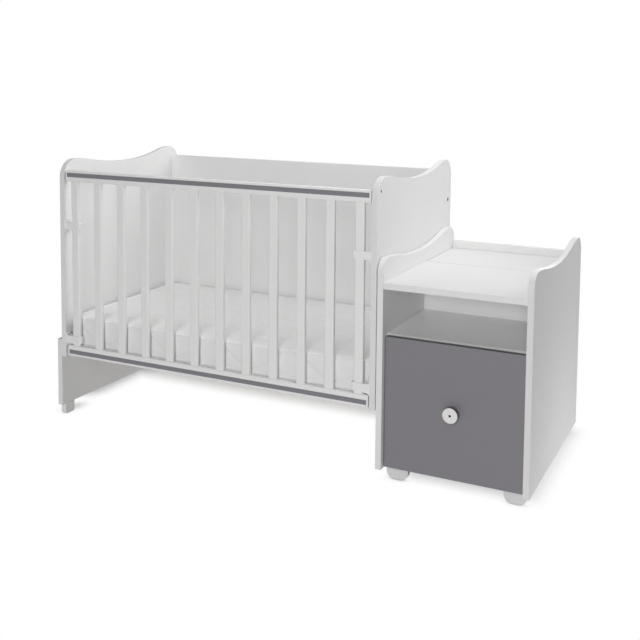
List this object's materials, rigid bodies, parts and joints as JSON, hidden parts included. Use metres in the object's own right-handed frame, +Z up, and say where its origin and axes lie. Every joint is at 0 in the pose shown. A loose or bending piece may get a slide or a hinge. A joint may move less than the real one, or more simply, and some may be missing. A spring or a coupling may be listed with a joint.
{
  "type": "convertible crib",
  "caption": "White convertible crib with wavy end panels, a sliding slatted drop side, a mattress on a slatted base and an attached bedside cabinet with a grey drawer.",
  "frame": {"origin": "on the floor, under the middle of the whole piece's box", "axes": "+X along the cot from the plinth end to the cabinet, +Z up, front with the drop side faces -Y"},
  "size_m": [1.624, 0.669, 0.889],
  "materials": {
    "white_board": "white melamine, satin, fine pebbled press",
    "white_lacquer": "white lacquered beech and MDF, satin",
    "grey_laminate": "grey melamine, satin",
    "raw_slat": "planed softwood",
    "white_plastic": "moulded white plastic",
    "fibreboard": "white-faced fibreboard",
    "steel": "zinc-plated steel",
    "mattress_cover": "quilted white microfibre"
  },
  "bodies": {
    "frame": {"back_panel": "white_board", "back_panel_bolts": "steel", "barrel_nuts": "steel", "base_brackets": "steel", "base_front_rail": "raw_slat", "base_rear_rail": "raw_slat", "base_slats": "raw_slat", "bracket_screws": "steel", "cabinet_back_board": "white_board", "cabinet_bolts": "steel", "cabinet_bottom": "white_board", "cabinet_divider": "white_board", "cabinet_feet": "white_board", "cabinet_front_top": "white_board", "cabinet_left_side": "white_board", "cabinet_rear_top": "white_board", "cabinet_right_side": "white_board", "cabinet_shelf": "white_board", "catch_spring_left": "steel", "catch_spring_right": "steel", "cover_cap": "white_plastic", "drawer_runners": "white_plastic", "guide_screws": "steel", "left_end_panel": "white_board", "left_plinth": "white_board", "lower_left_guide": "white_plastic", "lower_right_guide": "white_plastic", "mattress": "mattress_cover", "plinth_bolts": "steel", "plinth_feet": "white_board", "right_end_panel": "white_board", "upper_left_guide": "white_plastic", "upper_right_guide": "white_plastic"},
    "drop_side": {"drop_top_rail": "white_lacquer", "drop_bottom_rail": "white_lacquer", "top_strip": "grey_laminate", "bottom_strip": "grey_laminate", "slat_01": "white_lacquer", "slat_02": "white_lacquer", "slat_03": "white_lacquer", "slat_04": "white_lacquer", "slat_05": "white_lacquer", "slat_06": "white_lacquer", "slat_07": "white_lacquer", "slat_08": "white_lacquer", "slat_09": "white_lacquer", "slat_10": "white_lacquer", "slat_11": "white_lacquer", "slat_12": "white_lacquer"},
    "catch_left": {"catch_pin_left": "steel"},
    "catch_right": {"catch_pin_right": "steel"},
    "drawer": {"drawer_front": "grey_laminate", "drawer_knob": "white_plastic", "knob_screw": "steel", "drawer_left_side": "white_board", "drawer_right_side": "white_board", "drawer_back": "white_board", "drawer_floor": "fibreboard"}
  },
  "joints": [
    {"name": "drop_side_slide", "type": "slide", "parent": "frame", "child": "drop_side", "axis": [0, 0, 1], "range_m": [-0.13, 0]},
    {"name": "catch_left_press", "type": "slide", "parent": "frame", "child": "catch_left", "axis": [-1, 0, 0], "range_m": [0, 0.006], "stiffness_N_per_m": 600, "deforming": ["catch_spring_left"]},
    {"name": "catch_right_press", "type": "slide", "parent": "frame", "child": "catch_right", "axis": [1, 0, 0], "range_m": [0, 0.006], "stiffness_N_per_m": 600, "deforming": ["catch_spring_right"]},
    {"name": "drawer_slide", "type": "slide", "parent": "frame", "child": "drawer", "axis": [0, -1, 0], "range_m": [0, 0.22]}
  ]
}
